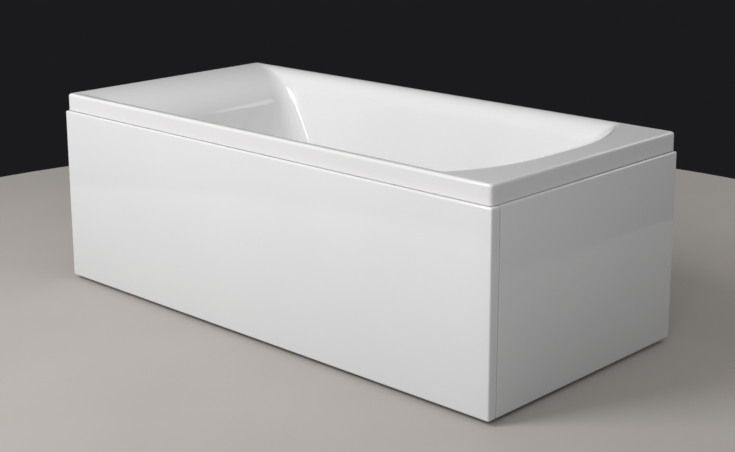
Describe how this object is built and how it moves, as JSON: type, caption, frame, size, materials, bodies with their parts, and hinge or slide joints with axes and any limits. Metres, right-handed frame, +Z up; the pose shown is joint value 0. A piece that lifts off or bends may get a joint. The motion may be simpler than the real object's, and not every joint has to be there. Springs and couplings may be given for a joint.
{
  "type": "bathtub",
  "caption": "Built-in rectangular white acrylic bathtub with flat end decks, a sloped backrest, removable front and end panels, pop-up waste, overflow and levelling feet.",
  "frame": {"origin": "on the floor, under the centre of the whole object's plan", "axes": "+Z up, +X along the bath towards the foot end with the waste and the end panel, +Y towards the wall behind the bath"},
  "size_m": [1.712, 0.808, 0.605],
  "materials": {
    "white_acrylic": "high gloss",
    "panel_acrylic": "high gloss",
    "chipboard": "raw chipboard under resin",
    "softwood": "sawn",
    "galvanised_steel": "galvanised",
    "zinc_steel": "zinc plated",
    "black_plastic": "moulded",
    "chrome": "polished",
    "rubber": "matt",
    "grey_plastic": "moulded polypropylene"
  },
  "bodies": {
    "bath": {"base_board": "chipboard", "bath_shell": "white_acrylic", "cradle_rail_foot": "galvanised_steel", "cradle_rail_head": "galvanised_steel", "end_catch": "galvanised_steel", "end_clip_1": "zinc_steel", "end_clip_2": "zinc_steel", "end_magnet": "zinc_steel", "foot_nut_1": "zinc_steel", "foot_nut_2": "zinc_steel", "foot_nut_3": "zinc_steel", "foot_nut_4": "zinc_steel", "front_catch_1": "galvanised_steel", "front_catch_2": "galvanised_steel", "front_clip_1": "zinc_steel", "front_clip_2": "zinc_steel", "front_magnet_1": "zinc_steel", "front_magnet_2": "zinc_steel", "lift_cable": "rubber", "overflow_body": "grey_plastic", "overflow_clamp": "chrome", "overflow_gasket": "rubber", "overflow_pipe": "grey_plastic", "pipe_nut_bottom": "grey_plastic", "pipe_nut_top": "grey_plastic", "rim_batten_back": "softwood", "rim_batten_foot": "softwood", "rim_batten_front": "softwood", "trap_body": "grey_plastic", "trap_nut": "grey_plastic", "wall_bracket_back_1": "galvanised_steel", "wall_bracket_back_2": "galvanised_steel", "wall_bracket_head": "galvanised_steel", "waste_body": "grey_plastic", "waste_flange": "chrome", "waste_gasket": "rubber", "waste_seal": "rubber"},
    "foot_1": {"foot_stem_1": "zinc_steel", "foot_pad_1": "black_plastic"},
    "foot_2": {"foot_stem_2": "zinc_steel", "foot_pad_2": "black_plastic"},
    "foot_3": {"foot_stem_3": "zinc_steel", "foot_pad_3": "black_plastic"},
    "foot_4": {"foot_stem_4": "zinc_steel", "foot_pad_4": "black_plastic"},
    "knob": {"overflow_knob": "chrome"},
    "plug": {"plug_cap": "chrome", "plug_seal": "rubber", "plug_pin": "chrome"},
    "lever": {"lift_lever": "grey_plastic"},
    "front_panel": {"front_panel": "panel_acrylic", "front_stiffener_1": "softwood", "front_stiffener_2": "softwood", "front_keeper_1": "zinc_steel", "front_keeper_2": "zinc_steel"},
    "end_panel": {"end_panel": "panel_acrylic", "end_stiffener": "softwood", "end_keeper": "zinc_steel"}
  },
  "joints": [
    {"name": "foot_level_1", "type": "slide", "parent": "bath", "child": "foot_1", "axis": [0, 0, -1], "range_m": [-0.01, 0.025]},
    {"name": "foot_level_2", "type": "slide", "parent": "bath", "child": "foot_2", "axis": [0, 0, -1], "range_m": [-0.01, 0.025]},
    {"name": "foot_level_3", "type": "slide", "parent": "bath", "child": "foot_3", "axis": [0, 0, -1], "range_m": [-0.01, 0.025]},
    {"name": "foot_level_4", "type": "slide", "parent": "bath", "child": "foot_4", "axis": [0, 0, -1], "range_m": [-0.01, 0.025]},
    {"name": "overflow_knob_turn", "type": "hinge", "parent": "bath", "child": "knob", "pos_m": [0.6032, 0.004, 0.46236], "axis": [-0.9884, 0, 0.1517], "range_deg": [0, 90]},
    {"name": "plug_lift", "type": "slide", "parent": "bath", "child": "plug", "axis": [0, 0, 1], "range_m": [0, 0.009]},
    {"name": "lift_lever_swing", "type": "hinge", "parent": "bath", "child": "lever", "pos_m": [0.388, 0.004, 0.1207], "axis": [0, -1, 0], "range_deg": [0, 22.6]},
    {"name": "front_panel_swing", "type": "hinge", "parent": "bath", "child": "front_panel", "pos_m": [-0.002, -0.382, 0.5465], "axis": [-1, 0, 0], "range_deg": [0, 6]},
    {"name": "end_panel_swing", "type": "hinge", "parent": "bath", "child": "end_panel", "pos_m": [0.834, 0.004, 0.5465], "axis": [0, -1, 0], "range_deg": [0, 6]}
  ],
  "couplings": [
    {"joint": "plug_lift", "follows": "overflow_knob_turn", "m_per_rad": 0.005729},
    {"joint": "lift_lever_swing", "follows": "overflow_knob_turn", "ratio": 0.25}
  ]
}
